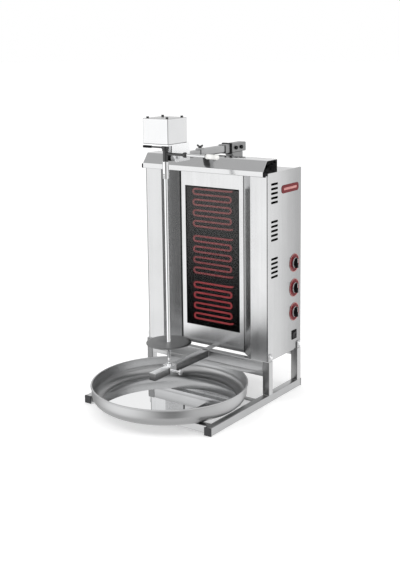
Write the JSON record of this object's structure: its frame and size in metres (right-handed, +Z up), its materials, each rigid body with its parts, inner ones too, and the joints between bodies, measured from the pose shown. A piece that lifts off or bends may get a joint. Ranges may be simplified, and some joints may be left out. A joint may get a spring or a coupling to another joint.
{
  "type": "doner kebab grill",
  "caption": "Electric upright grill: glazed heating cabinet with a hood, a turning spit and meat disc hung from a telescoping arm, and a round drip pan on a tube frame.",
  "frame": {"origin": "middle of the bounding box's footprint, at the height of the rails' undersides", "axes": "+X to the operator's right, +Y from the pan towards the back of the cabinet, +Z up"},
  "size_m": [0.4188, 0.557, 0.762],
  "materials": {
    "brushed_stainless": "brushed",
    "polished_stainless": "polished",
    "bright_steel": "polished",
    "dark_steel": "satin",
    "heating_tube": "oxidised",
    "motor_steel": "painted",
    "dark_grey_plastic": "matte",
    "black_plastic": "satin",
    "white_plastic": "satin",
    "dark_red_print": "satin",
    "smoked_glass": "polished"
  },
  "bodies": {
    "frame_and_cabinet": {"left_rail": "brushed_stainless", "right_rail": "brushed_stainless", "rail_end_caps": "dark_grey_plastic", "front_left_post": "brushed_stainless", "front_right_post": "brushed_stainless", "rear_left_post": "brushed_stainless", "rear_right_post": "brushed_stainless", "front_cross_member": "brushed_stainless", "rear_cross_member": "brushed_stainless", "front_pan_bar": "brushed_stainless", "rear_pan_bar": "brushed_stainless", "lower_arm": "brushed_stainless", "post_bolts": "bright_steel", "left_side_panel": "brushed_stainless", "right_side_panel": "brushed_stainless", "rear_panel": "brushed_stainless", "bottom_panel": "brushed_stainless", "top_panel": "brushed_stainless", "left_wing_panel": "brushed_stainless", "right_wing_panel": "brushed_stainless", "centre_panel": "brushed_stainless", "glass_pane": "smoked_glass", "element_tray": "brushed_stainless", "upper_element": "heating_tube", "middle_element": "heating_tube", "lower_element": "heating_tube", "heat_shield": "brushed_stainless", "hood": "polished_stainless", "hood_plugs": "black_plastic", "badge_plate": "dark_red_print", "dial_rings": "dark_red_print", "energy_regulators": "white_plastic", "switch_housing": "black_plastic", "terminal_block": "white_plastic", "cable_gland": "black_plastic", "arm_stand": "brushed_stainless", "arm_sleeve": "brushed_stainless", "sleeve_clamp": "dark_steel", "outer_arm_tube": "brushed_stainless"},
    "drive_head": {"inner_arm_tube": "brushed_stainless", "motor_bracket": "bright_steel", "gear_motor": "motor_steel", "motor_cover": "polished_stainless", "head_screws": "bright_steel", "bearing_housing": "dark_steel"},
    "spit": {"drive_shaft": "bright_steel", "spit_socket": "bright_steel", "spit_rod": "bright_steel", "meat_disc": "dark_steel"},
    "lock_lever": {"lock_lever": "dark_steel"},
    "handle": {"handle_rod": "polished_stainless", "handle_grip": "white_plastic"},
    "lower_bearing": {"lower_bearing": "bright_steel"},
    "bearing_screw": {"bearing_screw": "bright_steel"},
    "wing_bolt": {"wing_bolt": "dark_steel"},
    "drip_pan": {"drip_pan": "polished_stainless"},
    "upper_knob": {"upper_knob": "black_plastic"},
    "middle_knob": {"middle_knob": "black_plastic"},
    "lower_knob": {"lower_knob": "black_plastic"},
    "switch_rocker": {"switch_rocker": "black_plastic"}
  },
  "joints": [
    {"name": "head_slide", "type": "slide", "parent": "frame_and_cabinet", "child": "drive_head", "axis": [0, 1, 0], "range_m": [-0.04, 0.05]},
    {"name": "bearing_slide", "type": "slide", "parent": "frame_and_cabinet", "child": "lower_bearing", "axis": [0, 1, 0], "range_m": [-0.04, 0.05]},
    {"name": "spit_turn", "type": "hinge", "parent": "drive_head", "child": "spit", "pos_m": [-0.0028, -0.0725, 0.4], "axis": [0, 0, 1], "continuous": true},
    {"name": "lock_lever_turn", "type": "hinge", "parent": "drive_head", "child": "lock_lever", "pos_m": [-0.0028, -0.0725, 0.6787], "axis": [0, 0, 1], "range_deg": [0, 40]},
    {"name": "handle_fold", "type": "hinge", "parent": "drive_head", "child": "handle", "pos_m": [0.0582, -0.0725, 0.667], "axis": [0, 1, 0], "range_deg": [0, 90]},
    {"name": "bearing_screw_turn", "type": "hinge", "parent": "lower_bearing", "child": "bearing_screw", "pos_m": [0.0172, -0.0725, 0.1], "axis": [1, 0, 0], "range_deg": [0, 360]},
    {"name": "wing_bolt_turn", "type": "hinge", "parent": "frame_and_cabinet", "child": "wing_bolt", "pos_m": [-0.0028, 0.0765, 0.67], "axis": [0, 0, 1], "range_deg": [0, 360]},
    {"name": "pan_slide", "type": "slide", "parent": "frame_and_cabinet", "child": "drip_pan", "axis": [0, -1, 0], "range_m": [0, 0.3]},
    {"name": "upper_knob_turn", "type": "hinge", "parent": "frame_and_cabinet", "child": "upper_knob", "pos_m": [0.2072, 0.2275, 0.353], "axis": [-1, 0, 0], "range_deg": [0, 300]},
    {"name": "middle_knob_turn", "type": "hinge", "parent": "frame_and_cabinet", "child": "middle_knob", "pos_m": [0.2072, 0.2275, 0.284], "axis": [-1, 0, 0], "range_deg": [0, 300]},
    {"name": "lower_knob_turn", "type": "hinge", "parent": "frame_and_cabinet", "child": "lower_knob", "pos_m": [0.2072, 0.2275, 0.217], "axis": [-1, 0, 0], "range_deg": [0, 300]},
    {"name": "switch_tilt", "type": "hinge", "parent": "frame_and_cabinet", "child": "switch_rocker", "pos_m": [0.1922, 0.2275, 0.1525], "axis": [0, -1, 0], "range_deg": [0, 14]}
  ],
  "couplings": [
    {"joint": "bearing_slide", "follows": "head_slide", "ratio": 1}
  ]
}
